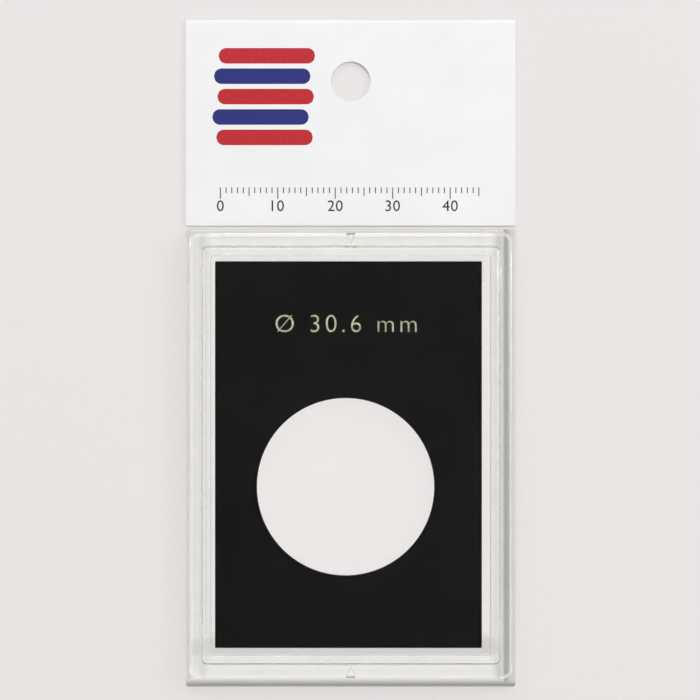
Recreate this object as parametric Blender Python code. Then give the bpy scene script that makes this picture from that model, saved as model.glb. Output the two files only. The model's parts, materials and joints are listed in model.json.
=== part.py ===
"""Clear snap-together coin holder: a base, a lid, a black insert with a coin seat and a white hang card.

Metres, +Z up. The case lies on its back: X runs across it, Y towards the hang card and Z from the
rear face to the front window. The origin is on the case's rear face, under the middle of the window.
"""

import math

import bmesh
import bpy

MM = 0.001

# Coin seat and insert
COIN_DIAMETER = 30.6 * MM
COIN_CLEARANCE = 0.1 * MM
COIN_OFFSET_X = -0.5 * MM
COIN_OFFSET_Y = -5.6 * MM
INSERT_WIDTH = 46.3 * MM
INSERT_LENGTH = 67.1 * MM
INSERT_THICKNESS = 2.4 * MM
INSERT_CORNER = 0.15 * MM
INSERT_CHAMFER = 0.1 * MM
INSERT_PLAY = 1.1 * MM
INSERT_SHIFT_X = -0.4 * MM
INSERT_SHIFT_Y = 0.15 * MM
SEAT_GAP = 0.2 * MM

# Base: a plate with a standing rim
BASE_THICKNESS = 1.6 * MM
BASE_CORNER = 0.5 * MM
BASE_CHAMFER = 0.25 * MM
RIM_WALL = 1.55 * MM
RIM_CORNER = 0.8 * MM
CAVITY_CORNER = 0.5 * MM
RIM_CHAMFER = 0.2 * MM
LEDGE = 0.7 * MM
LOWER_LEDGE = 1.7 * MM

# Lid: a window with a skirt that closes over the rim
WINDOW_THICKNESS = 1.8 * MM
SKIRT_SIDE_WALL = 1.95 * MM
SKIRT_END_WALL = 2.2 * MM
LID_CORNER = 1.5 * MM
LID_FILLET = 0.8 * MM
LID_LEAD_IN = 0.2 * MM
FIT_GAP = 0.2 * MM
LEDGE_GAP = 0.2 * MM

# Snap beads on the rim's long sides, and the grooves that they click into
BEAD_RADIUS = 0.45 * MM
BEAD_LENGTH = 5.0 * MM
BEAD_FROM_CORNER = 4.0 * MM
SNAP_SLACK = 0.05 * MM
GROOVE_RADIUS = 0.5 * MM
GROOVE_DEPTH = 0.15 * MM

# V-shaped moulding-gate notches in the middle of the skirt's two ends
GATE_WIDTH = 2.1 * MM
GATE_TIP = 0.2 * MM
GATE_WALL = 0.4 * MM
GATE_ROOF = 1.0 * MM

# Clear tape across the rear: its lower half in a shallow recess of the base, its upper half on the card
TAPE_LENGTH = 47.0 * MM
TAPE_ON_CASE = 9.2 * MM
TAPE_ON_CARD = 9.5 * MM
TAPE_THICKNESS = 0.1 * MM
TAPE_CORNER = 0.3 * MM
TAPE_FLOOR_GAP = 0.05 * MM
BOND_GAP = 0.05 * MM
RECESS_GAP = 0.3 * MM
BEND_FROM_CASE = 0.3 * MM
BEND_SLACK = 0.05 * MM

# Hang card: one sheet folded over at the top and punched through both layers
CARD_THICKNESS = 0.3 * MM
CARD_LAYER_GAP = 0.15 * MM
CARD_HEIGHT = 36.45 * MM
CARD_REAR_SETBACK = 0.2 * MM
CARD_FRONT_SETBACK = 0.35 * MM
HANG_HOLE_DIAMETER = 6.9 * MM
HANG_HOLE_FROM_TOP = 10.7 * MM
HANG_HOLE_SLIP = 0.5 * MM

# Facets of the round stretches, the angle from which an edge is sharp, and how far a cutter runs past its cut
CORNER_STEPS = 6
FILLET_STEPS = 4
COIN_STEPS = 96
HOLE_STEPS = 48
SMALL_STEPS = 24
FOLD_STEPS = 8
SHARP_ANGLE = math.radians(40)
CUT_MARGIN = 1.0 * MM

# Plan sizes, worked out from the insert outwards
CAVITY_WIDTH = INSERT_WIDTH + 2 * INSERT_PLAY
CAVITY_LENGTH = INSERT_LENGTH + 2 * INSERT_PLAY
RIM_WIDTH = CAVITY_WIDTH + 2 * RIM_WALL
RIM_LENGTH = CAVITY_LENGTH + 2 * RIM_WALL
SKIRT_BORE_WIDTH = RIM_WIDTH + 2 * FIT_GAP
SKIRT_BORE_LENGTH = RIM_LENGTH + 2 * FIT_GAP
LID_WIDTH = SKIRT_BORE_WIDTH + 2 * SKIRT_SIDE_WALL
LID_LENGTH = SKIRT_BORE_LENGTH + 2 * SKIRT_END_WALL
BASE_WIDTH = LID_WIDTH + 2 * LEDGE
BASE_LENGTH = LID_LENGTH + LEDGE + LOWER_LEDGE
BASE_TOP_Y = LID_LENGTH / 2 + LEDGE
BASE_MIDDLE_Y = BASE_TOP_Y - BASE_LENGTH / 2

# Heights, worked out from the rear face upwards
INSERT_Z = BASE_THICKNESS + SEAT_GAP
WINDOW_Z = INSERT_Z + INSERT_THICKNESS + SEAT_GAP
RIM_TOP_Z = WINDOW_Z - SEAT_GAP
LID_Z = BASE_THICKNESS + LEDGE_GAP
LID_TOP_Z = WINDOW_Z + WINDOW_THICKNESS
SNAP_Z = (LID_Z + RIM_TOP_Z) / 2

# Tape and hang card places: the tape bends along a line just past the case's upper end
BEND_Y = BASE_TOP_Y + BEND_FROM_CASE
BEND_Z = TAPE_FLOOR_GAP + TAPE_THICKNESS / 2
BEND_HALF_GAP = TAPE_THICKNESS / 2 + BEND_SLACK
RECESS_Z = TAPE_FLOOR_GAP + TAPE_THICKNESS + BOND_GAP
TAPE_END_Y = BASE_TOP_Y - TAPE_ON_CASE
CARD_WIDTH = BASE_WIDTH
CARD_REAR_UP = TAPE_THICKNESS / 2 + BOND_GAP
CARD_TOP_ALONG = BASE_TOP_Y + CARD_HEIGHT - BEND_Y


def clear_scene():
    for obj in list(bpy.data.objects):
        bpy.data.objects.remove(obj)


def plastic(name, colour, roughness, transmission=0.0):
    """A Principled material of one colour, clear where transmission is 1."""
    material = bpy.data.materials.new(name)
    material.use_nodes = True
    shader = material.node_tree.nodes["Principled BSDF"]
    shader.inputs["Base Color"].default_value = (*colour, 1.0)
    shader.inputs["Roughness"].default_value = roughness
    shader.inputs["Metallic"].default_value = 0.0
    shader.inputs["Transmission Weight"].default_value = transmission
    return material


def rounded_rectangle(width, length, radius, z):
    """One ring of points, anticlockwise from the right-hand side's lower end, at height z."""
    points = []
    for quarter in range(4):
        sign_x = 1 if quarter in (0, 3) else -1
        sign_y = 1 if quarter in (0, 1) else -1
        centre_x = sign_x * (width / 2 - radius)
        centre_y = sign_y * (length / 2 - radius)
        for step in range(CORNER_STEPS + 1):
            angle = math.pi / 2 * (quarter + step / CORNER_STEPS)
            points.append((centre_x + radius * math.cos(angle), centre_y + radius * math.sin(angle), z))
    return points


def inset_ring(width, length, radius, inset, z):
    """The same outline drawn in by inset on every side."""
    return rounded_rectangle(width - 2 * inset, length - 2 * inset, max(radius - inset, radius / 8), z)


def plate_ring(inset, z):
    """The base plate's outline, which reaches further past the lid at its lower end than at the others."""
    ring = inset_ring(BASE_WIDTH, BASE_LENGTH, BASE_CORNER, inset, z)
    return [(x, y + BASE_MIDDLE_Y, z) for x, y, z in ring]


def circle(radius, z, steps):
    return [
        (radius * math.cos(2 * math.pi * i / steps), radius * math.sin(2 * math.pi * i / steps), z)
        for i in range(steps)
    ]


def add_object(name, mesh, location=(0, 0, 0), parent=None, material=None):
    obj = bpy.data.objects.new(name, mesh)
    bpy.context.scene.collection.objects.link(obj)
    obj.location = location
    obj.parent = parent
    if material:
        mesh.materials.append(material)
    return obj


def lofted(name, rings):
    """A closed mesh through rings of equal point counts, its first and last rings capped."""
    shape = bmesh.new()
    rows = [[shape.verts.new(point) for point in ring] for ring in rings]
    count = len(rows[0])
    for lower, upper in zip(rows, rows[1:]):
        for i in range(count):
            j = (i + 1) % count
            shape.faces.new((lower[i], lower[j], upper[j], upper[i]))
    shape.faces.new(list(reversed(rows[0])))
    shape.faces.new(rows[-1])
    bmesh.ops.recalc_face_normals(shape, faces=shape.faces)
    mesh = bpy.data.meshes.new(name)
    shape.to_mesh(mesh)
    shape.free()
    mesh.shade_smooth()
    mesh.set_sharp_from_angle(angle=SHARP_ANGLE)
    return mesh


def turned_about_y(ring):
    """A ring drawn about Z, laid over so that its axis runs along Y."""
    return [(x, z, -y) for x, y, z in ring]


def shape_with(target, tool, operation):
    """Adds or removes a helper's shape. The helper stays with the target and isn't a piece."""
    tool.hide_render = True
    tool.display_type = "WIRE"
    modifier = target.modifiers.new(tool.name, "BOOLEAN")
    modifier.object = tool
    modifier.operation = operation
    modifier.solver = "EXACT"


def add_snap_bars(target, name, radius, reach, length, operation):
    """Four short round bars along the long sides, whose outer line lies at X = reach."""
    bar_z = SNAP_Z - target.location.z
    bar_y = CAVITY_LENGTH / 2 - BEAD_FROM_CORNER
    half = length / 2
    rings = [turned_about_y(circle(radius, along, SMALL_STEPS)) for along in (-half, half)]
    for side, across in (("left", -1), ("right", 1)):
        for end, along in (("bottom", -1), ("top", 1)):
            label = f"{name}_{side}_{end}"
            place = (across * (reach - radius), along * bar_y, bar_z)
            bar = add_object(label, lofted(label, rings), place, target)
            shape_with(target, bar, operation)


def build_back_cover(parent):
    """The base: a clear plate with a ledge all round, a standing rim and a rear recess for the tape."""
    rings = [
        plate_ring(BASE_CHAMFER, 0),
        plate_ring(0, BASE_CHAMFER),
        plate_ring(0, BASE_THICKNESS - BASE_CHAMFER),
        plate_ring(BASE_CHAMFER, BASE_THICKNESS),
        rounded_rectangle(RIM_WIDTH, RIM_LENGTH, RIM_CORNER, BASE_THICKNESS),
        rounded_rectangle(RIM_WIDTH, RIM_LENGTH, RIM_CORNER, RIM_TOP_Z - RIM_CHAMFER),
        inset_ring(RIM_WIDTH, RIM_LENGTH, RIM_CORNER, RIM_CHAMFER, RIM_TOP_Z),
        rounded_rectangle(CAVITY_WIDTH, CAVITY_LENGTH, CAVITY_CORNER, RIM_TOP_Z),
        rounded_rectangle(CAVITY_WIDTH, CAVITY_LENGTH, CAVITY_CORNER, BASE_THICKNESS),
    ]
    material = plastic("clear_base", (0.93, 0.95, 0.92), 0.04, transmission=1.0)
    base = add_object("back_cover", lofted("back_cover", rings), parent=parent, material=material)
    add_snap_bars(base, "snap_bead", BEAD_RADIUS, RIM_WIDTH / 2 + FIT_GAP - SNAP_SLACK, BEAD_LENGTH, "UNION")

    recess_start = TAPE_END_Y - RECESS_GAP
    recess_end = BASE_TOP_Y + CUT_MARGIN
    outline = (TAPE_LENGTH + 2 * RECESS_GAP, recess_end - recess_start, TAPE_CORNER)
    rings = [rounded_rectangle(*outline, -CUT_MARGIN), rounded_rectangle(*outline, RECESS_Z)]
    recess = add_object("tape_recess", lofted("tape_recess", rings), parent=base)
    recess.location.y = (recess_start + recess_end) / 2
    shape_with(base, recess, "DIFFERENCE")
    return base


def gate_notch(side, z):
    """A V in plan, as one ring: wide past the skirt's end face and narrow towards the rim."""
    tip_y = SKIRT_BORE_LENGTH / 2 + GATE_WALL
    end_y = LID_LENGTH / 2 + CUT_MARGIN
    past_face = (end_y - tip_y) / (LID_LENGTH / 2 - tip_y)
    tip_half = GATE_TIP / 2
    end_half = tip_half + (GATE_WIDTH - GATE_TIP) / 2 * past_face
    outline = ((-tip_half, tip_y), (tip_half, tip_y), (end_half, end_y), (-end_half, end_y))
    return [(x, side * y, z) for x, y in outline]


def build_front_cover(parent):
    """The lid: a flat clear window whose skirt closes over the base's rim and lands on the ledge."""
    ceiling = WINDOW_Z - LID_Z
    top = LID_TOP_Z - LID_Z
    bore_corner = RIM_CORNER + FIT_GAP
    rings = [
        rounded_rectangle(SKIRT_BORE_WIDTH, SKIRT_BORE_LENGTH, bore_corner, ceiling),
        rounded_rectangle(SKIRT_BORE_WIDTH, SKIRT_BORE_LENGTH, bore_corner, LID_LEAD_IN),
        inset_ring(SKIRT_BORE_WIDTH, SKIRT_BORE_LENGTH, bore_corner, -LID_LEAD_IN, 0),
        inset_ring(LID_WIDTH, LID_LENGTH, LID_CORNER, LID_LEAD_IN, 0),
        rounded_rectangle(LID_WIDTH, LID_LENGTH, LID_CORNER, LID_LEAD_IN),
    ]
    for step in range(FILLET_STEPS + 1):
        angle = math.pi / 2 * step / FILLET_STEPS
        inset = LID_FILLET * (1 - math.cos(angle))
        height = top - LID_FILLET * (1 - math.sin(angle))
        rings.append(inset_ring(LID_WIDTH, LID_LENGTH, LID_CORNER, inset, height))
    material = plastic("clear_lid", (0.94, 0.96, 0.93), 0.03, transmission=1.0)
    lid = add_object("front_cover", lofted("front_cover", rings), (0, 0, LID_Z), parent, material)
    add_snap_bars(
        lid,
        "snap_groove",
        GROOVE_RADIUS,
        SKIRT_BORE_WIDTH / 2 + GROOVE_DEPTH,
        BEAD_LENGTH + 2 * SNAP_SLACK,
        "DIFFERENCE",
    )
    for end, side in (("top", 1), ("bottom", -1)):
        name = f"gate_notch_{end}"
        rings = [gate_notch(side, z) for z in (-CUT_MARGIN, top - GATE_ROOF)]
        notch = add_object(name, lofted(name, rings), parent=lid)
        shape_with(lid, notch, "DIFFERENCE")
    return lid


def build_insert(parent):
    """The black plate that carries the coin, loose in the cavity and clamped between the two windows."""
    outline = (INSERT_WIDTH, INSERT_LENGTH, INSERT_CORNER)
    rings = [
        inset_ring(*outline, INSERT_CHAMFER, 0),
        rounded_rectangle(*outline, INSERT_CHAMFER),
        rounded_rectangle(*outline, INSERT_THICKNESS - INSERT_CHAMFER),
        inset_ring(*outline, INSERT_CHAMFER, INSERT_THICKNESS),
    ]
    material = plastic("black_insert", (0.011, 0.011, 0.011), 0.45)
    place = (INSERT_SHIFT_X, INSERT_SHIFT_Y, INSERT_Z)
    insert = add_object("insert_plate", lofted("insert_plate", rings), place, parent, material)

    # The seat's cutter flares by the chamfer at both faces of the plate.
    seat = COIN_DIAMETER / 2 + COIN_CLEARANCE
    flare = seat + INSERT_CHAMFER + CUT_MARGIN
    rings = [
        circle(flare, -CUT_MARGIN, COIN_STEPS),
        circle(seat, INSERT_CHAMFER, COIN_STEPS),
        circle(seat, INSERT_THICKNESS - INSERT_CHAMFER, COIN_STEPS),
        circle(flare, INSERT_THICKNESS + CUT_MARGIN, COIN_STEPS),
    ]
    cutter = add_object("coin_seat", lofted("coin_seat", rings), (COIN_OFFSET_X, COIN_OFFSET_Y, 0), insert)
    shape_with(insert, cutter, "DIFFERENCE")
    return insert


def folded_profile():
    """The folded card's section from the bend line, as (along, up) points: rear panel, fold, front panel."""
    fold_inner = CARD_LAYER_GAP / 2
    fold_outer = fold_inner + CARD_THICKNESS
    fold_up = CARD_REAR_UP + fold_outer
    fold_along = CARD_TOP_ALONG - fold_outer
    angles = [math.pi * (step / FOLD_STEPS - 0.5) for step in range(FOLD_STEPS + 1)]
    turns = [(math.cos(angle), math.sin(angle)) for angle in angles]
    outer = [(fold_along + fold_outer * c, fold_up + fold_outer * s) for c, s in turns]
    inner = [(fold_along + fold_inner * c, fold_up + fold_inner * s) for c, s in reversed(turns)]
    front_top = fold_up + fold_outer
    return [
        (CARD_REAR_SETBACK, CARD_REAR_UP),
        *outer,
        (CARD_FRONT_SETBACK, front_top),
        (CARD_FRONT_SETBACK, front_top - CARD_THICKNESS),
        *inner,
        (CARD_REAR_SETBACK, CARD_REAR_UP + CARD_THICKNESS),
    ]


def build_header_card(hinge):
    """The hang card above the case: one sheet folded over at its top edge and punched through both layers."""
    profile = folded_profile()
    rings = [[(x, along, up) for along, up in profile] for x in (-CARD_WIDTH / 2, CARD_WIDTH / 2)]
    material = plastic("white_card", (0.92, 0.93, 0.93), 0.35)
    card = add_object("header_card", lofted("header_card", rings), parent=hinge, material=material)

    hole_y = CARD_TOP_ALONG - HANG_HOLE_FROM_TOP
    between_layers = CARD_REAR_UP + CARD_THICKNESS + CARD_LAYER_GAP / 2
    layers = (
        ("rear_hang_hole", CARD_REAR_UP - CUT_MARGIN, between_layers, hole_y - HANG_HOLE_SLIP),
        ("front_hang_hole", between_layers, between_layers + CARD_THICKNESS + CUT_MARGIN, hole_y),
    )
    for name, low, high, along in layers:
        rings = [circle(HANG_HOLE_DIAMETER / 2, z, HOLE_STEPS) for z in (low, high)]
        punch = add_object(name, lofted(name, rings), (0, along, 0), card)
        shape_with(card, punch, "DIFFERENCE")
    return card


def build_tape(name, parent, start_y, end_y, z, material):
    """One half of the clear tape strip that holds the card to the case, between two places along Y."""
    outline = (TAPE_LENGTH, end_y - start_y, TAPE_CORNER)
    rings = [rounded_rectangle(*outline, 0), rounded_rectangle(*outline, TAPE_THICKNESS)]
    place = (0, (start_y + end_y) / 2, z)
    return add_object(name, lofted(name, rings), place, parent, material)


def build_coin_holder():
    clear_scene()
    holder = add_object("coin_holder", None)
    hinge = add_object("tape_bend", None, (0, BEND_Y, BEND_Z), holder)
    build_back_cover(holder)
    build_insert(holder)
    build_front_cover(holder)
    build_header_card(hinge)
    film = plastic("clear_tape", (0.95, 0.95, 0.92), 0.12, transmission=1.0)
    build_tape("tape_on_case", holder, TAPE_END_Y, BEND_Y - BEND_HALF_GAP, TAPE_FLOOR_GAP, film)
    build_tape("tape_on_card", hinge, BEND_HALF_GAP, TAPE_ON_CARD, -TAPE_THICKNESS / 2, film)


build_coin_holder()
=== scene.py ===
"""Looks of a clear snap-together coin holder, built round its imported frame.

Metres, in the frame's own axes: X across the case, Y towards the hang card, Z up from the rear face.
"""

import json
import math

import bmesh
import bpy
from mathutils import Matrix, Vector


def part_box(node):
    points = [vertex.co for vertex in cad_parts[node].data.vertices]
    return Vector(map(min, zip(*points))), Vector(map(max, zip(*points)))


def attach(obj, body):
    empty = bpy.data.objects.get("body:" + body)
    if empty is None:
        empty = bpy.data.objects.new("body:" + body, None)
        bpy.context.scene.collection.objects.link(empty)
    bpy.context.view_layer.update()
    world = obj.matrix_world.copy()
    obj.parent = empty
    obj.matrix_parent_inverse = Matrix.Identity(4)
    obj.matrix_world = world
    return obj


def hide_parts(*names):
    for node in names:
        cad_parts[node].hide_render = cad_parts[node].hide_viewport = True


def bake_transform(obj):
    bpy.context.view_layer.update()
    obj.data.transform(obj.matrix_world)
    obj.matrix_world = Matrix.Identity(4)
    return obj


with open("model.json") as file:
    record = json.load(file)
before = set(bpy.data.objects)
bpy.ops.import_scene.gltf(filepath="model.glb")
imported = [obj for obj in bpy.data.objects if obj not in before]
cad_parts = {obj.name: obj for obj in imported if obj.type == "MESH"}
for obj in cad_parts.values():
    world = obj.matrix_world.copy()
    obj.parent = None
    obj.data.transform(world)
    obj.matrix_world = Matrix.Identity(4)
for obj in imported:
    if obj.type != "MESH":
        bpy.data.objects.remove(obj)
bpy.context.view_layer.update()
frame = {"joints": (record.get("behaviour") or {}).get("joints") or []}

# Camera: straight down on the front window, the hang card towards the top of the picture. The square
# picture takes in 121.5 mm at the height of the insert's face. Light crosses the clear walls and is
# mirrored inside them many times, so it is followed through many turns.
insert_low, insert_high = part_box("insert_plate")
picture_width = 0.1215
picture_middle = (-0.00013, 0.0183)
lens_mm = 350.0
sensor_mm = 36.0
nearest = 0.01
farthest = 20.0
light_turns = 24
lens = bpy.data.cameras.new("camera")
lens.lens = lens_mm
lens.sensor_width = sensor_mm
lens.clip_start = nearest
lens.clip_end = farthest
camera = bpy.data.objects.new("camera", lens)
camera.location = (*picture_middle, insert_high.z + picture_width * lens_mm / sensor_mm)
bpy.context.scene.collection.objects.link(camera)
bpy.context.scene.camera = camera
bpy.context.scene.view_settings.view_transform = "Standard"
bpy.context.scene.cycles.max_bounces = light_turns
bpy.context.scene.cycles.transmission_bounces = light_turns
bpy.context.scene.cycles.glossy_bounces = light_turns
bpy.context.scene.cycles.blur_glossy = 0.0


# Room: a pale studio, brightest on the side of the hang card. It is dark at the horizon, which draws
# fine lines along clear edges, and dark straight overhead, so that a flat window seen from above shows
# what lies under it and not a grey ceiling.
horizon_tone = (0.10, 0.10, 0.10)
skirting_tone = (0.14, 0.14, 0.14)
wall_tone = (0.75, 0.75, 0.74)
ceiling_tone = (0.90, 0.90, 0.89)
overhead_tone = (0.02, 0.02, 0.02)
dim_side = (0.15, 0.15, 0.15)
bright_side = (1.0, 1.0, 1.0)
brighter_along_x = 0.1
brighter_along_y = 0.2
backdrop_colour = (0.831, 0.791, 0.791, 1.0)


def add_node(tree, kind, inputs=None, **settings):
    """A shader node with its settings. An input takes a plain value, or the socket that feeds it."""
    made = tree.nodes.new(kind)
    for name, value in settings.items():
        setattr(made, name, value)
    for name, value in (inputs or {}).items():
        if isinstance(value, bpy.types.NodeSocket):
            tree.links.new(value, made.inputs[name])
        else:
            made.inputs[name].default_value = value
    return made


def split(tree, vector):
    """The X, Y and Z of a vector, as sockets by name."""
    return add_node(tree, "ShaderNodeSeparateXYZ", {"Vector": vector}).outputs


def compute(tree, operation, *values):
    """One step of arithmetic on numbers."""
    return add_node(tree, "ShaderNodeMath", dict(enumerate(values)), operation=operation).outputs["Value"]


def compute_vector(tree, operation, *values):
    """One step of arithmetic on vectors or colours."""
    made = add_node(tree, "ShaderNodeVectorMath", dict(enumerate(values)), operation=operation)
    return made.outputs["Vector"]


def ramp(tree, factor, *stops):
    """A colour ramp through grey or coloured stops, each a place and a colour."""
    made = add_node(tree, "ShaderNodeValToRGB", {"Fac": factor})
    elements = made.color_ramp.elements
    while len(elements) < len(stops):
        elements.new(1.0)
    for element, (place, colour) in zip(elements, stops):
        element.position = place
        element.color = (*colour, 1.0)
    return made.outputs["Color"]


room = bpy.data.worlds.new("room")
bpy.context.scene.world = room
room.use_nodes = True
studio = room.node_tree
studio.nodes.clear()
towards = split(studio, add_node(studio, "ShaderNodeTexCoord").outputs["Generated"])
by_height = ramp(
    studio,
    towards["Z"],
    (0.0, horizon_tone),
    (0.12, skirting_tone),
    (0.28, wall_tone),
    (0.85, ceiling_tone),
    (0.978, ceiling_tone),
    (0.993, overhead_tone),
)
facing = compute(studio, "MULTIPLY_ADD", towards["X"], brighter_along_x, 0.5)
facing = compute(studio, "MULTIPLY_ADD", towards["Y"], brighter_along_y, facing)
by_side = ramp(studio, facing, (0.1, dim_side), (0.9, bright_side))
sky = compute_vector(studio, "MULTIPLY", by_height, by_side)
light = add_node(studio, "ShaderNodeBackground", {"Color": sky, "Strength": 1.0})
backdrop = add_node(studio, "ShaderNodeBackground", {"Color": backdrop_colour, "Strength": 1.0})
seen = add_node(studio, "ShaderNodeLightPath").outputs["Is Camera Ray"]
shown = add_node(
    studio,
    "ShaderNodeMixShader",
    {"Fac": seen, 1: light.outputs["Background"], 2: backdrop.outputs["Background"]},
)
add_node(studio, "ShaderNodeOutputWorld", {"Surface": shown.outputs["Shader"]})


# Lamps: a large softbox high on the right, a smaller one beyond the hang card and a weak one on the
# left. None of them stands where the window would mirror it to the camera.
softbox_distance = 0.9


def add_softbox(name, azimuth, elevation, size, watts):
    """An area lamp that faces the case's middle. Azimuth 0 is over +Y, 90 over +X."""
    lamp = bpy.data.lights.new(name, "AREA")
    lamp.shape = "RECTANGLE"
    lamp.size, lamp.size_y = size
    lamp.energy = watts
    turn, rise = math.radians(azimuth), math.radians(elevation)
    obj = bpy.data.objects.new(name, lamp)
    obj.location = (
        softbox_distance * math.sin(turn) * math.cos(rise),
        softbox_distance * math.cos(turn) * math.cos(rise),
        softbox_distance * math.sin(rise),
    )
    obj.rotation_euler = (math.pi / 2 - rise, 0.0, math.pi - turn)
    bpy.context.scene.collection.objects.link(obj)


add_softbox("key_softbox", azimuth=65, elevation=50, size=(0.5, 0.4), watts=3.4)
add_softbox("top_softbox", azimuth=-15, elevation=45, size=(0.5, 0.3), watts=2.0)
add_softbox("left_softbox", azimuth=-100, elevation=45, size=(0.6, 0.5), watts=0.7)


# Floor: a plain pale table top just under the holder, which takes its soft shadow. Most of its tone is
# its own, for the camera and for what the clear plastic shows of it, so it stays even and pale. Under
# the case that tone carries painted light and shade: bands under the walls, a painted mottle, and a
# painted shadow at the plate's foot.
floor_half = 4.0
floor_drop = 0.0001
own_tone_open = 0.74
own_tone_inside = 0.92
tone_windows = (0.985, 0.945, 0.955, 1.0)
tone_walls = (1.0, 0.985, 0.97)
# Painted mottle of shade on the table under the walls, and its size:
painted_shade_mottled = (0.965, 0.96, 0.935)
painted_mottle_scale = 350.0
insert_play = 0.0011
rim_wall = 0.00155
foot_inset = 0.0002
hidden_inset = 0.004

# Painted light and shade on the table under each side of the case, seen through the clear plastic, from
# the inside outwards: the gap beside the insert, the rim's middle, the rim's outside, the skirt's inner
# part, its middle, the lid's edge and the plate's foot, where it is a painted shadow.
painted_light_left = (1.0, 0.88, 0.80, 0.86, 0.92, 0.73, 0.63)
painted_light_right = (1.0, 0.88, 0.69, 0.84, 0.42, 0.73, 0.65)
painted_light_top = (1.0, 1.0, 1.0, 1.0, 1.0, 0.66, 0.86)
painted_light_bottom = (0.79, 1.0, 0.80, 1.0, 0.93, 1.0, 0.27)

base_low, base_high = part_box("back_cover")
lid_low, lid_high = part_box("front_cover")
insert_size = insert_high - insert_low
cavity_size = (insert_size.x + 2 * insert_play, insert_size.y + 2 * insert_play)
cavity_half = Vector((cavity_size[0] / 2, cavity_size[1] / 2, 0.0))
floor_mesh = bpy.data.meshes.new("floor")
floor_signs = ((-1, -1), (1, -1), (1, 1), (-1, 1))
floor_corners = [(x * floor_half, y * floor_half, -floor_drop) for x, y in floor_signs]
floor_mesh.from_pydata(floor_corners, [], [(0, 1, 2, 3)])
floor = bpy.data.objects.new("floor", floor_mesh)
bpy.context.scene.collection.objects.link(floor)


def new_material(name, obj):
    """An empty material, the only one on obj, as its node tree."""
    material = bpy.data.materials.new(name)
    material.use_nodes = True
    material.node_tree.nodes.clear()
    obj.data.materials.clear()
    obj.data.materials.append(material)
    return material.node_tree


def rescale(tree, value, low, high, to_low=0.0, to_high=1.0):
    """A value carried from one range to another, and kept inside it."""
    ranges = {"From Min": low, "From Max": high, "To Min": to_low, "To Max": to_high}
    return add_node(tree, "ShaderNodeMapRange", {"Value": value, **ranges}).outputs["Result"]


def noise(tree, place, scale, detail, roughness=0.5):
    """Cloudy noise from 0 to 1."""
    inputs = {"Vector": place, "Scale": scale, "Detail": detail, "Roughness": roughness}
    return add_node(tree, "ShaderNodeTexNoise", inputs).outputs["Fac"]


def mix_colours(tree, factor, first, second):
    """The first colour at factor 0, the second at factor 1. The Mix node's colour sockets go by number."""
    made = add_node(tree, "ShaderNodeMix", {"Factor": factor, 6: first, 7: second}, data_type="RGBA")
    return made.outputs[2]


table = new_material("pale_table", floor)
ray = add_node(table, "ShaderNodeLightPath").outputs
inside = compute(table, "MAXIMUM", ray["Is Glossy Ray"], ray["Is Transmission Ray"])
position = add_node(table, "ShaderNodeNewGeometry").outputs["Position"]


def light_along(axis, low_light, high_light):
    """The painted light and shade on the table under the case along X or Y, given for its low and its high
    side.
    """
    number = "XYZ".index(axis)
    low, high = base_low[number], base_high[number]
    cavity = cavity_half[number]
    rim = cavity + rim_wall
    lid_edge = lid_high[number]
    skirt = lid_edge - rim
    walls = (cavity, cavity + rim_wall / 2, rim, rim + skirt / 4, rim + skirt / 2, lid_edge)
    gap = cavity - 2 * insert_play
    hidden = cavity - hidden_inset
    low_stops = [(-place, light) for place, light in zip((*walls, -low - foot_inset), low_light)]
    middle_stops = [(-gap, low_light[0]), (-hidden, 1.0), (hidden, 1.0), (gap, high_light[0])]
    high_stops = [*zip((*walls, high - foot_inset), high_light)]
    stops = [*reversed(low_stops), *middle_stops, *high_stops]
    greys = [((place - low) / (high - low), (light,) * 3) for place, light in stops]
    return ramp(table, rescale(table, split(table, position)[axis], low, high), *greys)


def outside(low, high):
    """A mask of the table outside a box's plan."""
    off = compute_vector(table, "SUBTRACT", position, (low + high) / 2)
    off = split(table, compute_vector(table, "ABSOLUTE", off))
    half = (high - low) / 2
    past_x = compute(table, "GREATER_THAN", off["X"], half.x)
    past_y = compute(table, "GREATER_THAN", off["Y"], half.y)
    return compute(table, "MAXIMUM", past_x, past_y)


# Painted light and shade on the table under the case: the darker of the across and lengthways levels.
painted_light_across = light_along("X", painted_light_left, painted_light_right)
painted_light_lengthways = light_along("Y", painted_light_bottom, painted_light_top)
painted_light_under = compute_vector(table, "MINIMUM", painted_light_across, painted_light_lengthways)
# A painted mottle of light and shade on the table under the walls, seen through the clear plastic.
painted_mottle_cloud = noise(table, position, painted_mottle_scale, detail=4.0)
mottle = ramp(table, painted_mottle_cloud, (0.36, painted_shade_mottled), (0.56, tone_walls))
tint_under = mix_colours(table, outside(-cavity_half, cavity_half), tone_windows, mottle)
tone_under = compute_vector(table, "MULTIPLY", painted_light_under, tint_under)
tone_inside = mix_colours(table, outside(base_low, base_high), tone_under, tone_windows)
inside_share = compute(table, "MULTIPLY", inside, own_tone_inside)
own_share = compute(table, "MULTIPLY_ADD", ray["Is Camera Ray"], own_tone_open, inside_share)
tone = mix_colours(table, inside, backdrop_colour, tone_inside)
glow = add_node(table, "ShaderNodeEmission", {"Color": tone, "Strength": 1.0})
lit = add_node(table, "ShaderNodeBsdfDiffuse", {"Color": tone})
both = add_node(
    table, "ShaderNodeMixShader", {"Fac": own_share, 1: lit.outputs["BSDF"], 2: glow.outputs["Emission"]}
)
add_node(table, "ShaderNodeOutputMaterial", {"Surface": both.outputs["Shader"]})


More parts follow.
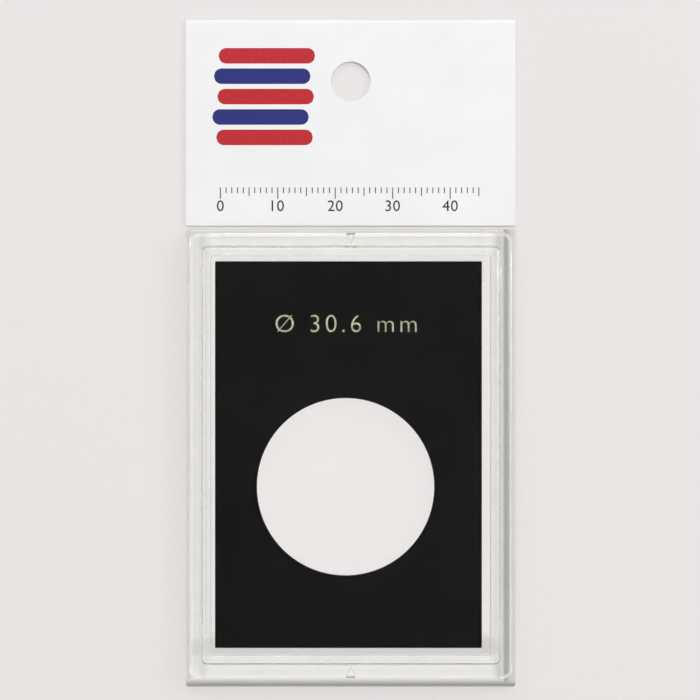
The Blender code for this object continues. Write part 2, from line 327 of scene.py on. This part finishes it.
# Base: the rear half of the case, one clear acrylic moulding. A plate with a ledge all round, wider at
# the lower end, carries a standing rim with four snap beads, and a shallow recess in its rear takes
# the tape.
tape_low, tape_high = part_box("tape_on_case")
plate_thickness = 0.0016
plate_corner = 0.0005
plate_foot_round = 0.0005
plate_top_round = 0.0003
rim_corner = 0.0008
rim_foot_round = 0.0002
rim_outer_round = 0.0005
rim_inner_round = 0.00035
cavity_corner = 0.0005
cavity_foot_round = 0.00015
bead_radius = 0.00045
bead_length = 0.005
bead_proud = 0.00015
bead_from_corner = 0.004
recess_depth = 0.0002
recess_margin = 0.0003
recess_corner = 0.0003
cut_margin = 0.001
corner_steps = 12
round_steps = 6
fine_round_steps = 12
edge_support = 0.00006
smooth_angle = math.radians(32)
inward, outward = -1, 1
upward, downward = 1, -1

base_size = base_high - base_low
rim_size = (cavity_size[0] + 2 * rim_wall, cavity_size[1] + 2 * rim_wall)
base_outline = (base_size.x, base_size.y, plate_corner, (base_low.y + base_high.y) / 2)
rim_outline = (*rim_size, rim_corner, 0.0)
cavity_outline = (*cavity_size, cavity_corner, 0.0)
snap_level = (lid_low.z + base_high.z) / 2


def outline_ring(outline, grow, z):
    """One ring of points round a rounded rectangle, grown all round by grow.

    An outline is its width, its length, its corner radius and the Y of its middle. A shrunken corner
    keeps at least a sixth of its radius.
    """
    width, length, corner, centre_y = outline
    corner = max(corner + grow, corner / 6)
    ring = []
    for quarter, (side_x, side_y) in enumerate(((1, 1), (-1, 1), (-1, -1), (1, -1))):
        middle_x = side_x * (width / 2 + grow - corner)
        middle_y = centre_y + side_y * (length / 2 + grow - corner)
        for step in range(corner_steps + 1):
            turn = math.pi / 2 * (quarter + step / corner_steps)
            ring.append((middle_x + corner * math.cos(turn), middle_y + corner * math.sin(turn), z))
    return ring


def rounded_edge(outline, z, radius, side, rise, wall_first, steps=round_steps):
    """Rings round an edge where a wall on the outline meets the level z, with a close ring at each end.

    side says whether the level lies inward or outward of the outline, and rise whether the wall stands
    upward or downward from it.
    """
    reaches = [(radius + edge_support, 0.0)]
    for step in range(steps + 1):
        turn = math.pi / 2 * step / steps
        reaches.append((radius * (1 - math.sin(turn)), radius * (1 - math.cos(turn))))
    reaches.append((0.0, radius + edge_support))
    rings = []
    for first, second in reaches:
        along_wall, along_level = (first, second) if wall_first else (second, first)
        rings.append(outline_ring(outline, side * along_level, z + rise * along_wall))
    return rings


def place_mesh(name, shape):
    """A finished bmesh as a new object in the scene."""
    mesh = bpy.data.meshes.new(name)
    shape.to_mesh(mesh)
    shape.free()
    obj = bpy.data.objects.new(name, mesh)
    bpy.context.scene.collection.objects.link(obj)
    return obj


def loft(name, rings):
    """A closed mesh object through rings of equal point counts, capped at its first and last ring."""
    shape = bmesh.new()
    rows = [[shape.verts.new(point) for point in ring] for ring in rings]
    count = len(rows[0])
    for lower, upper in zip(rows, rows[1:]):
        for i in range(count):
            j = (i + 1) % count
            shape.faces.new((lower[i], lower[j], upper[j], upper[i]))
    shape.faces.new(list(reversed(rows[0])))
    shape.faces.new(rows[-1])
    bmesh.ops.recalc_face_normals(shape, faces=shape.faces)
    return place_mesh(name, shape)


def shape_with(obj, tools, operation):
    """Adds or cuts away helper shapes, which are then removed."""
    for tool in tools:
        modifier = obj.modifiers.new(tool.name, "BOOLEAN")
        modifier.object = tool
        modifier.operation = operation
        modifier.solver = "EXACT"
    evaluated = obj.evaluated_get(bpy.context.evaluated_depsgraph_get())
    shaped = bpy.data.meshes.new_from_object(evaluated)
    obj.modifiers.clear()
    obj.data = shaped
    for tool in tools:
        bpy.data.objects.remove(tool)


def shade(obj):
    """Smooth over the rounded edges, with a crisp line at every real corner."""
    obj.data.shade_smooth()
    obj.data.set_sharp_from_angle(angle=smooth_angle)


def circle_ring(radius, z, steps):
    """One ring of points round the Z axis."""
    turns = [2 * math.pi * i / steps for i in range(steps)]
    return [(radius * math.cos(turn), radius * math.sin(turn), z) for turn in turns]


def move_mesh(obj, x=0.0, y=0.0, z=0.0):
    """Moves an object's points, so that its own origin stays at the frame's."""
    for vertex in obj.data.vertices:
        vertex.co.x += x
        vertex.co.y += y
        vertex.co.z += z
    return obj


def snap_bars(name, radius, reach, length):
    """Four short bars along the long sides, tapered at both ends, whose outer line lies at X = reach."""
    bar_steps = 32
    half_taper = ((0.28, 1.0), (0.4, 0.88), (0.47, 0.6), (0.5, 0.25))
    taper = [(-along, share) for along, share in reversed(half_taper)] + [*half_taper]
    end_y = cavity_size[1] / 2 - bead_from_corner
    bars = []
    for side in (-1, 1):
        for end in (-1, 1):
            rings = []
            for along, share in taper:
                ring = circle_ring(radius * share, along * length, bar_steps)
                rings.append([(x, z, -y) for x, y, z in ring])
            bar = loft(f"{name}_{len(bars)}", rings)
            bars.append(move_mesh(bar, side * (reach - radius), end * end_y, snap_level))
    return bars


base_rings = [
    *rounded_edge(base_outline, base_low.z, plate_foot_round, inward, upward, False, fine_round_steps),
    *rounded_edge(base_outline, plate_thickness, plate_top_round, inward, downward, True),
    *rounded_edge(rim_outline, plate_thickness, rim_foot_round, outward, upward, False),
    *rounded_edge(rim_outline, base_high.z, rim_outer_round, inward, downward, True),
    *rounded_edge(cavity_outline, base_high.z, rim_inner_round, outward, downward, False),
    *rounded_edge(cavity_outline, plate_thickness, cavity_foot_round, inward, upward, True),
]
base = loft("base_moulding", base_rings)
beads = snap_bars("bead", bead_radius, rim_size[0] / 2 + bead_proud, bead_length)
shape_with(base, beads, "UNION")
recess_width = tape_high.x - tape_low.x + 2 * recess_margin
recess_low_y = tape_low.y - recess_margin
recess_length = base_high.y - recess_low_y + 2 * cut_margin
recess_outline = (recess_width, recess_length, recess_corner, recess_low_y + recess_length / 2)
recess = loft("recess", [outline_ring(recess_outline, 0.0, z) for z in (-cut_margin, recess_depth)])
shape_with(base, [recess], "DIFFERENCE")
shade(base)

smudge_scale = 60.0
smudge_band = (0.5, 0.75)
hairline_scale = 900.0
hairline_band = (0.70, 0.78)
hairline_turn = (0.0, 0.0, 0.6)
hairline_stretch = (1.0, 0.06, 1.0)
hairline_share = 0.01
upright_band = (0.75, 0.25)
ripple_scale = 420.0
ripple_height = 0.00003
clear_colour = (1.0, 1.0, 0.995)
body_colour = (0.95, 0.955, 0.86, 1.0)
body_density = 24.0
acrylic_ior = 1.49
# Painted shade: the base's upright walls are greyed in their colour, to draw dark lines along them.
base_wall_shade = (0.66, 0.66, 0.64)


def on_piece(tree):
    """Texture places that stay with a piece as it moves."""
    return add_node(tree, "ShaderNodeTexCoord").outputs["Object"]


def handling_marks():
    """Node group: smudges, hairlines and moulding ripples of clear plastic.

    It gives a roughness, a height, and a mask of the upright walls. Past Wall X and Wall Y the level
    faces ripple, because the plastic shrinks more over a wall than in the windows.
    """
    group = bpy.data.node_groups.new("handling_marks", "ShaderNodeTree")
    for name, start in (("Clean", 0.02), ("Smudged", 0.08), ("Wall X", 0.024), ("Wall Y", 0.034)):
        socket = group.interface.new_socket(name, in_out="INPUT", socket_type="NodeSocketFloat")
        socket.default_value = start
    for name in ("Roughness", "Height", "Wall"):
        group.interface.new_socket(name, in_out="OUTPUT", socket_type="NodeSocketFloat")
    given = add_node(group, "NodeGroupInput").outputs
    place = on_piece(group)
    smudge = rescale(group, noise(group, place, smudge_scale, detail=4.0, roughness=0.6), *smudge_band)
    stretching = {"Vector": place, "Rotation": hairline_turn, "Scale": hairline_stretch}
    stretched = add_node(group, "ShaderNodeMapping", stretching).outputs["Vector"]
    hairline = rescale(group, noise(group, stretched, hairline_scale, detail=2.0), *hairline_band)
    normal = add_node(group, "ShaderNodeNewGeometry").outputs["Normal"]
    wall = rescale(group, split(group, compute_vector(group, "ABSOLUTE", normal))["Z"], *upright_band)
    worn = compute(group, "MAXIMUM", compute(group, "MAXIMUM", smudge, hairline), wall)
    roughness = rescale(group, worn, 0.0, 1.0, given["Clean"], given["Smudged"])
    apart = split(group, compute_vector(group, "ABSOLUTE", place))
    beyond_x = compute(group, "GREATER_THAN", apart["X"], given["Wall X"])
    beyond_y = compute(group, "GREATER_THAN", apart["Y"], given["Wall Y"])
    level = compute(group, "SUBTRACT", 1.0, wall)
    wave = compute(group, "MULTIPLY", noise(group, place, ripple_scale, detail=2.0), level)
    ripple = compute(group, "MULTIPLY", wave, compute(group, "MAXIMUM", beyond_x, beyond_y))
    height = compute(group, "MULTIPLY_ADD", hairline, hairline_share, ripple)
    add_node(group, "NodeGroupOutput", {"Roughness": roughness, "Height": height, "Wall": wall})
    return group


marks = handling_marks()


def clear_acrylic(name, obj, clean, smudged, wall_shade):
    """Polished clear acrylic, slightly yellow along long light paths, with painted shade, a greyer colour, on
    its upright walls.
    """
    tree = new_material(name, obj)
    placed = {"Clean": clean, "Smudged": smudged, "Wall X": cavity_size[0] / 2, "Wall Y": cavity_size[1] / 2}
    worn = add_node(tree, "ShaderNodeGroup", placed, node_tree=marks).outputs
    bumped = {"Height": worn["Height"], "Strength": 1.0, "Distance": ripple_height}
    acrylic = add_node(
        tree,
        "ShaderNodeBsdfPrincipled",
        {
            "Base Color": ramp(tree, worn["Wall"], (0.0, clear_colour), (1.0, wall_shade)),
            "Roughness": worn["Roughness"],
            "Normal": add_node(tree, "ShaderNodeBump", bumped).outputs["Normal"],
            "Transmission Weight": 1.0,
            "IOR": acrylic_ior,
        },
    ).outputs["BSDF"]
    absorbing = {"Color": body_colour, "Density": body_density}
    body = add_node(tree, "ShaderNodeVolumeAbsorption", absorbing).outputs["Volume"]
    add_node(tree, "ShaderNodeOutputMaterial", {"Surface": acrylic, "Volume": body})


clear_acrylic("clear_base", base, clean=0.015, smudged=0.06, wall_shade=base_wall_shade)
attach(base, "base")
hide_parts("back_cover")


# Tape: one strip of clear adhesive tape across the rear of the case and of the hang card, torn off against
# a toothed cutter at both ends. It holds the card, and its rows lie close along the line of the header
# fold, just past the case.
bend = next(joint for joint in frame["joints"] if joint["name"] == "header_fold")["pos_m"]
tape_end_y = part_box("tape_on_card")[1].y
tooth_pitch = 0.0008
tooth_depth = 0.0004
bend_before = 0.0003
bend_after = 0.0002
bend_rows = 6
film_colour = (0.95, 0.95, 0.91, 1.0)
film_stretch = (0.1, 1.0, 1.0)
film_scale = 1500.0
film_haze = (0.02, 0.06)
film_roughness = (0.08, 0.25)

bend_low_y = bend[1] - bend_before
bend_high_y = bend[1] + bend_after


def spread(start, end, count):
    """Evenly spaced places from start up to, but without, end."""
    return [start + (end - start) * i / count for i in range(count)]


def toothed_strip(name):
    """A flat strip along Y whose two long edges are zigzags, with close rows along the header fold."""
    places = []
    for start, end in ((tape_low.y, bend_low_y), (bend_high_y, tape_end_y)):
        places += spread(start, end, round(2 * (end - start) / tooth_pitch))
    places += [*spread(bend_low_y, bend_high_y, bend_rows), tape_end_y]
    rings = []
    for i, y in enumerate(sorted(set(places))):
        left = tape_low.x + tooth_depth * (i % 2)
        right = tape_high.x - tooth_depth * ((i + 1) % 2)
        corners = ((left, tape_low.z), (right, tape_low.z), (right, tape_high.z), (left, tape_high.z))
        rings.append([(x, y, z) for x, z in corners])
    return loft(name, rings)


def add_material(name, obj, plain, make_inputs):
    """One Principled material on obj: plain values, and what make_inputs(tree) builds for varying sockets."""
    tree = new_material(name, obj)
    shader = add_node(tree, "ShaderNodeBsdfPrincipled", {**plain, **make_inputs(tree)})
    add_node(tree, "ShaderNodeOutputMaterial", {"Surface": shader.outputs["BSDF"]})


def film_streaks(tree):
    """Clear film with the faint haze and streaks of its adhesive."""
    stretching = {"Vector": on_piece(tree), "Scale": film_stretch}
    along = add_node(tree, "ShaderNodeMapping", stretching).outputs["Vector"]
    streak = noise(tree, along, film_scale, detail=3.0)
    return {
        "Alpha": rescale(tree, streak, 0.0, 1.0, *film_haze),
        "Roughness": rescale(tree, streak, 0.0, 1.0, *film_roughness),
    }


tape = toothed_strip("clear_tape")
add_material("clear_tape", tape, {"Base Color": film_colour}, film_streaks)
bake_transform(tape)
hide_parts("tape_on_case", "tape_on_card")


# Hang card: one sheet of white coated card, folded over at the top and punched for a peg through both
# layers. The tape holds its rear layer, and its front flap bows a little.
card_low, card_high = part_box("header_card")
card_thickness = 0.0003
flap_setback = 0.00035
flap_bow = 0.00022
bow_fall = 0.6
dent_place = (0.0102, 0.0495)
dent_heading = (0.6, 0.8)
dent_height = 0.0001
dent_length = 0.0045
dent_width = 0.0012
hole_radius = 0.00345
hole_from_top = 0.0107
hole_slip = 0.0005
hole_steps = 96
card_columns = 48
rear_rows = 24
fold_rows = 12
flap_rows = 36
card_pale = (0.90, 0.905, 0.905)
card_dull = (0.865, 0.87, 0.875)
card_roughness = (0.32, 0.5)
card_specular = 0.4
card_mottle_scale = 90.0
fibre_scale = 4500.0
fibre_height = 0.00003
fibre_strength = 0.15

rear_level = card_low.z + card_thickness / 2
front_level = card_high.z - card_thickness / 2
between = (rear_level + front_level) / 2
fold_radius = (front_level - rear_level) / 2
fold_y = card_high.y - fold_radius - card_thickness / 2
flap_low_y = bend[1] + flap_setback
hole_y = card_high.y - hole_from_top


def flap_lift(x, y):
    """How far the front flap stands off its flat place: a bow across its middle and one soft dent."""
    along = min(max((y - flap_low_y) / (fold_y - flap_low_y), 0.0), 1.0)
    across = 2 * x / (card_high.x - card_low.x)
    bow = flap_bow * math.sin(math.pi * along) * (1 - bow_fall * across * across)
    off_x, off_y = x - dent_place[0], y - dent_place[1]
    along_dent = off_x * dent_heading[0] + off_y * dent_heading[1]
    across_dent = off_x * dent_heading[1] - off_y * dent_heading[0]
    dent = dent_height * math.exp(-((along_dent / dent_length) ** 2) - (across_dent / dent_width) ** 2)
    return bow + dent


def card_path():
    """The sheet's middle line as (y, z) points: rear panel, fold and front flap."""
    line = [(y, rear_level) for y in spread(card_low.y, fold_y, rear_rows)]
    for turn in spread(-math.pi / 2, math.pi / 2, fold_rows):
        line.append((fold_y + fold_radius * math.cos(turn), between + fold_radius * math.sin(turn)))
    line += [(y, front_level) for y in spread(fold_y, flap_low_y, flap_rows)]
    line.append((flap_low_y, front_level))
    return line


def folded_sheet(name):
    """The sheet as a closed solid: rows along its path, columns across it, and its thickness."""
    line = card_path()
    shape = bmesh.new()
    rows = []
    for i, (y, z) in enumerate(line):
        before, after = line[max(i - 1, 0)], line[min(i + 1, len(line) - 1)]
        run = math.hypot(after[0] - before[0], after[1] - before[1])
        off_y = -(after[1] - before[1]) / run * card_thickness / 2
        off_z = (after[0] - before[0]) / run * card_thickness / 2
        row = []
        for column in range(card_columns + 1):
            x = card_low.x + (card_high.x - card_low.x) * column / card_columns
            lift = flap_lift(x, y) if z > between else 0.0
            inner = shape.verts.new((x, y + off_y, z + off_z + lift))
            outer = shape.verts.new((x, y - off_y, z - off_z + lift))
            row.append((inner, outer))
        rows.append(row)
    for row, following in zip(rows, rows[1:]):
        for column in range(card_columns):
            a, b, c, d = row[column], row[column + 1], following[column + 1], following[column]
            shape.faces.new((a[0], b[0], c[0], d[0]))
            shape.faces.new((a[1], d[1], c[1], b[1]))
        for side in (0, card_columns):
            shape.faces.new((row[side][0], row[side][1], following[side][1], following[side][0]))
    for row in (rows[0], rows[-1]):
        for column in range(card_columns):
            a, b = row[column], row[column + 1]
            shape.faces.new((a[0], a[1], b[1], b[0]))
    bmesh.ops.recalc_face_normals(shape, faces=shape.faces)
    return place_mesh(name, shape)


def hole_punch(name, y, low, high):
    """A round cutter for the hang hole in one layer of the card."""
    return move_mesh(loft(name, [circle_ring(hole_radius, z, hole_steps) for z in (low, high)]), y=y)


def coated_card(tree):
    """White clay-coated card: a faint mottle in the colour and fine fibre under the coating."""
    place = on_piece(tree)
    mottle = noise(tree, place, card_mottle_scale, detail=5.0, roughness=0.6)
    fibre = noise(tree, place, fibre_scale, detail=3.0, roughness=0.7)
    bumped = {"Height": fibre, "Strength": fibre_strength, "Distance": fibre_height}
    return {
        "Base Color": ramp(tree, mottle, (0.3, card_dull), (0.7, card_pale)),
        "Roughness": rescale(tree, mottle, 0.0, 1.0, *card_roughness),
        "Normal": add_node(tree, "ShaderNodeBump", bumped).outputs["Normal"],
    }


card = folded_sheet("hang_card")
rear_punch = hole_punch("rear_punch", hole_y - hole_slip, -cut_margin, between)
front_punch = hole_punch("front_punch", hole_y, between, card_high.z + cut_margin)
shape_with(card, [rear_punch, front_punch], "DIFFERENCE")
shade(card)
add_material("white_card", card, {"Specular IOR Level": card_specular}, coated_card)
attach(card, "header")
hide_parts("header_card")


# Print on the card: flat spot colours. A stack of coins seen edge-on, in red and blue bars,
# and below it a plain millimetre scale in black.
ink_rise = 0.000012
ink_sink = 0.000008
ink_scale = 2500.0
ink_depth = 0.85
ink_roughness = 0.38
red = (0.56, 0.022, 0.032)
blue = (0.022, 0.030, 0.21)
black = (0.010, 0.010, 0.011)
stack_x, stack_y = -0.0152, 0.0624
stack_width, coin_height, coin_gap = 0.0168, 0.0027, 0.00085
stack_shifts = (0.0002, -0.0005, 0.0004, -0.0002, 0.0006)
bar_slices = 16
slice_steps = 6
bar_tip = 0.000001
scale_x, scale_y = -0.0227, 0.0466
scale_length_mm = 45
millimetre = 0.001
tick_width = 0.00016
tick_short, tick_middle, tick_long = 0.0010, 0.0015, 0.0020
number_height = 0.0019
number_drop = 0.0032
number_spacing = 1.05


def printed_patches(name, patches):
    """One mesh of thin ink patches that lie on the flap. A patch is a closed ring of (x, y) points."""
    shape = bmesh.new()
    for patch in patches:
        rings = []
        for off in (-ink_sink, ink_rise):
            level = card_high.z + off
            rings.append([shape.verts.new((x, y, level + flap_lift(x, y))) for x, y in patch])
        count = len(patch)
        for i in range(count):
            j = (i + 1) % count
            shape.faces.new((rings[0][i], rings[0][j], rings[1][j], rings[1][i]))
        shape.faces.new(rings[0][::-1])
        shape.faces.new(rings[1])
    bmesh.ops.recalc_face_normals(shape, faces=shape.faces)
    return place_mesh(name, shape)


def bar_pieces(x, y, width, height):
    """A bar with round ends, cut into upright slices so that it follows the bowed card."""
    radius = height / 2
    patches = []
    places = [x - width / 2 + width * i / bar_slices for i in range(bar_slices + 1)]

    def half_height(at):
        past = max(abs(at - x) - (width / 2 - radius), 0.0)
        return math.sqrt(max(radius * radius - past * past, bar_tip * bar_tip))

    for left, right in zip(places, places[1:]):
        inner = [left + (right - left) * i / slice_steps for i in range(slice_steps + 1)]
        patch = [(at, y - half_height(at)) for at in inner]
        patch += [(at, y + half_height(at)) for at in reversed(inner)]
        patches.append(patch)
    return patches


def scale_tick(number):
    """One line of the millimetre scale, as a patch that hangs from the scale's upper edge."""
    length = tick_long if number % 10 == 0 else tick_middle if number % 5 == 0 else tick_short
    x, half = scale_x + number * millimetre, tick_width / 2
    low_y = scale_y - length
    return [(x - half, low_y), (x + half, low_y), (x + half, scale_y), (x - half, scale_y)]


def text_mesh(name, words, height, middle, thickness, spacing, thin=0.0):
    """Plain characters as a thin closed mesh at z = 0, height tall and centred on middle."""
    curve = bpy.data.curves.new(name, "FONT")
    curve.body = words
    curve.space_character = spacing
    curve.offset = -thin
    curve.extrude = 0.5
    curve.resolution_u = 6
    source = bpy.data.objects.new(name + "_curve", curve)
    bpy.context.scene.collection.objects.link(source)
    mesh = bpy.data.meshes.new_from_object(source.evaluated_get(bpy.context.evaluated_depsgraph_get()))
    bpy.data.objects.remove(source)
    xs = [vertex.co.x for vertex in mesh.vertices]
    ys = [vertex.co.y for vertex in mesh.vertices]
    size = height / (max(ys) - min(ys))
    for vertex in mesh.vertices:
        vertex.co.x = middle[0] + (vertex.co.x - (max(xs) + min(xs)) / 2) * size
        vertex.co.y = middle[1] + (vertex.co.y - (max(ys) + min(ys)) / 2) * size
        vertex.co.z = thickness / 2 if vertex.co.z > 0 else -thickness / 2
    mesh.name = name
    obj = bpy.data.objects.new(name, mesh)
    bpy.context.scene.collection.objects.link(obj)
    return obj


def scale_number(number):
    """One number under the scale, laid on the bowed flap."""
    middle = (scale_x + number * millimetre, scale_y - number_drop)
    thickness = ink_rise + ink_sink
    digits = text_mesh(f"digits_{number}", str(number), number_height, middle, thickness, number_spacing)
    for vertex in digits.data.vertices:
        vertex.co.z += card_high.z + (ink_rise - ink_sink) / 2 + flap_lift(vertex.co.x, vertex.co.y)
    return digits


def join(name, parts):
    """Several meshes as one piece."""
    shape = bmesh.new()
    for part in parts:
        shape.from_mesh(part.data)
    for part in parts:
        bpy.data.objects.remove(part)
    return place_mesh(name, shape)


def ink(name, obj, colour):
    """A printing ink with a fine grain, on a piece that moves with the card."""

    def screened(tree):
        grain = noise(tree, on_piece(tree), ink_scale, detail=2.0)
        deep = tuple(ink_depth * value for value in colour)
        return {"Base Color": ramp(tree, grain, (0.35, deep), (0.65, colour))}

    add_material(name, obj, {"Roughness": ink_roughness, "Specular IOR Level": card_specular}, screened)
    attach(obj, "header")


red_patches, blue_patches = [], []
middle_layer = len(stack_shifts) // 2
for layer, shift in enumerate(stack_shifts):
    layer_y = stack_y + (layer - middle_layer) * (coin_height + coin_gap)
    bar = bar_pieces(stack_x + shift, layer_y, stack_width, coin_height)
    (blue_patches if layer % 2 else red_patches).extend(bar)
ticks = printed_patches("ticks", [scale_tick(number) for number in range(scale_length_mm + 1)])
numbers = [scale_number(number) for number in range(0, scale_length_mm, 10)]
ink("red_ink", printed_patches("print_red", red_patches), red)
ink("blue_ink", printed_patches("print_blue", blue_patches), blue)
ink("black_ink", join("print_black", [ticks, *numbers]), black)


# Insert: a flat plate of black plastic with a round seat cut through it for the coin. It lies loose
# in the cavity, and the two windows hold the coin in its seat.
insert_corner = 0.00015
insert_edge = 0.0001
insert_edge_steps = 3
seat_radius = 0.0154
seat_shift = (-0.0005, -0.0056)
seat_flare = 0.0001
seat_steps = 192
deep_black = (0.0055, 0.0055, 0.0055)
rubbed_black = (0.0080, 0.0080, 0.0080)
black_roughness = (0.45, 0.62)
black_specular = 0.1
rub_scale = 70.0
grain_scale = 5200.0
grain_height = 0.00002
grain_strength = 0.25

insert_middle = (insert_low + insert_high) / 2
insert_outline = (insert_size.x, insert_size.y, insert_corner, insert_middle.y)


def satin_black(tree):
    """Black sheet with the fine grain of a matt roll, a little greyer where it has been rubbed."""
    place = on_piece(tree)
    rubbed = noise(tree, place, rub_scale, detail=5.0, roughness=0.65)
    grain = noise(tree, place, grain_scale, detail=3.0)
    bumped = {"Height": grain, "Strength": grain_strength, "Distance": grain_height}
    return {
        "Base Color": ramp(tree, rubbed, (0.35, deep_black), (0.75, rubbed_black)),
        "Roughness": rescale(tree, rubbed, 0.0, 1.0, *black_roughness),
        "Normal": add_node(tree, "ShaderNodeBump", bumped).outputs["Normal"],
    }


insert_rings = [
    *rounded_edge(insert_outline, insert_low.z, insert_edge, inward, upward, False, insert_edge_steps),
    *rounded_edge(insert_outline, insert_high.z, insert_edge, inward, downward, True, insert_edge_steps),
]
insert = move_mesh(loft("insert", insert_rings), insert_middle.x)
seat_mouth = seat_radius + seat_flare + cut_margin
seat_cut = loft(
    "seat_cut",
    [
        circle_ring(seat_mouth, insert_low.z - cut_margin, seat_steps),
        circle_ring(seat_radius, insert_low.z + seat_flare, seat_steps),
        circle_ring(seat_radius, insert_high.z - seat_flare, seat_steps),
        circle_ring(seat_mouth, insert_high.z + cut_margin, seat_steps),
    ],
)
move_mesh(seat_cut, insert_middle.x + seat_shift[0], insert_middle.y + seat_shift[1])
shape_with(insert, [seat_cut], "DIFFERENCE")
shade(insert)
add_material("satin_black", insert, {"Specular IOR Level": black_specular}, satin_black)
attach(insert, "insert")
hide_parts("insert_plate")


# Size mark: pale gold foil, hot-stamped into the insert's face above the seat. It gives only
# the seat's size.
mark_words = "\u00d8 30.6 mm"
mark_height = 0.0030
mark_shift = (-0.0004, 0.02275)
mark_spacing = 1.25
mark_thinning = 0.012
foil_rise = 0.00002
foil_bright = (0.80, 0.785, 0.56)
foil_worn = (0.38, 0.375, 0.21)
foil_roughness = (0.35, 0.6)
foil_metal = 0.35
foil_scale = 1500.0

mark_middle = (insert_middle.x + mark_shift[0], insert_middle.y + mark_shift[1])


def stamped_foil(tree):
    """Gold foil that took unevenly on the grained plastic."""
    speckle = noise(tree, on_piece(tree), foil_scale, detail=3.0, roughness=0.6)
    return {
        "Base Color": ramp(tree, speckle, (0.3, foil_worn), (0.62, foil_bright)),
        "Roughness": rescale(tree, speckle, 0.0, 1.0, *foil_roughness),
    }


mark = text_mesh(
    "size_mark", mark_words, mark_height, mark_middle, 2 * foil_rise, mark_spacing, mark_thinning
)
move_mesh(mark, z=insert_high.z)
add_material("gold_foil", mark, {"Metallic": foil_metal}, stamped_foil)
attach(mark, "insert")


# Lid: the front half of the case, one clear acrylic moulding. Its flat window ends in a skirt that
# closes over the base's rim, clicks over the beads and lands on the ledge. A V-shaped notch in the
# middle of each end is left from the moulding gate.
window_low = 0.0044
fit_gap = 0.0002
lid_corner = 0.0015
lid_round = 0.0008
bore_corner = 0.0010
window_round = 0.0005
skirt_foot_round = 0.0002
groove_radius = 0.0005
groove_depth = 0.00015
groove_slack = 0.0001
gate_width = 0.0021
gate_wall = 0.0004
gate_roof = 0.001
gate_round = 0.0001
gate_round_middle = 0.3
gate_tip_turn = 0.6
# Painted shade: the lid's upright walls are a little greyer in their colour.
lid_wall_shade = (0.97, 0.97, 0.95)

lid_outline = (lid_high.x - lid_low.x, lid_high.y - lid_low.y, lid_corner, 0.0)
bore_outline = (rim_size[0] + 2 * fit_gap, rim_size[1] + 2 * fit_gap, bore_corner, 0.0)


def gate_ring(end, inset, z):
    """A V in plan with a rounded point, wide past the skirt's end face and narrow towards the rim."""
    tip_y = bore_outline[1] / 2 + gate_wall + inset
    face_y = lid_outline[1] / 2
    slope = (gate_width / 2 - gate_round) / (face_y - tip_y)
    far_x = gate_width / 2 + slope * cut_margin - inset
    far_y = face_y + cut_margin
    turns = [gate_tip_turn * step for step in (-2, -1, 0, 1, 2)]
    points = [(gate_round * math.sin(turn), tip_y + gate_round * (1 - math.cos(turn))) for turn in turns]
    points += [(far_x, far_y), (-far_x, far_y)]
    return [(x, end * y, z) for x, y in points]


def gate_notch(name, end):
    """The notch in one end of the skirt, open below and rounded over at its roof."""
    top = lid_high.z - gate_roof
    middle = gate_round * gate_round_middle
    rings = [
        gate_ring(end, 0.0, lid_low.z - cut_margin),
        gate_ring(end, 0.0, top - gate_round),
        gate_ring(end, middle, top - middle),
        gate_ring(end, gate_round, top),
    ]
    return loft(name, rings)


lid_rings = [
    *rounded_edge(bore_outline, window_low, window_round, inward, downward, False),
    *rounded_edge(bore_outline, lid_low.z, skirt_foot_round, outward, upward, True),
    *rounded_edge(lid_outline, lid_low.z, skirt_foot_round, inward, upward, False),
    *rounded_edge(lid_outline, lid_high.z, lid_round, inward, downward, True, fine_round_steps),
]
lid = loft("lid_moulding", lid_rings)
groove_reach = bore_outline[0] / 2 + groove_depth
grooves = snap_bars("groove", groove_radius, groove_reach, bead_length + groove_slack)
gates = [gate_notch("lower_gate", -1), gate_notch("upper_gate", 1)]
shape_with(lid, [*grooves, *gates], "DIFFERENCE")
shade(lid)
clear_acrylic("clear_lid", lid, clean=0.01, smudged=0.05, wall_shade=lid_wall_shade)
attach(lid, "lid")
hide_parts("front_cover")
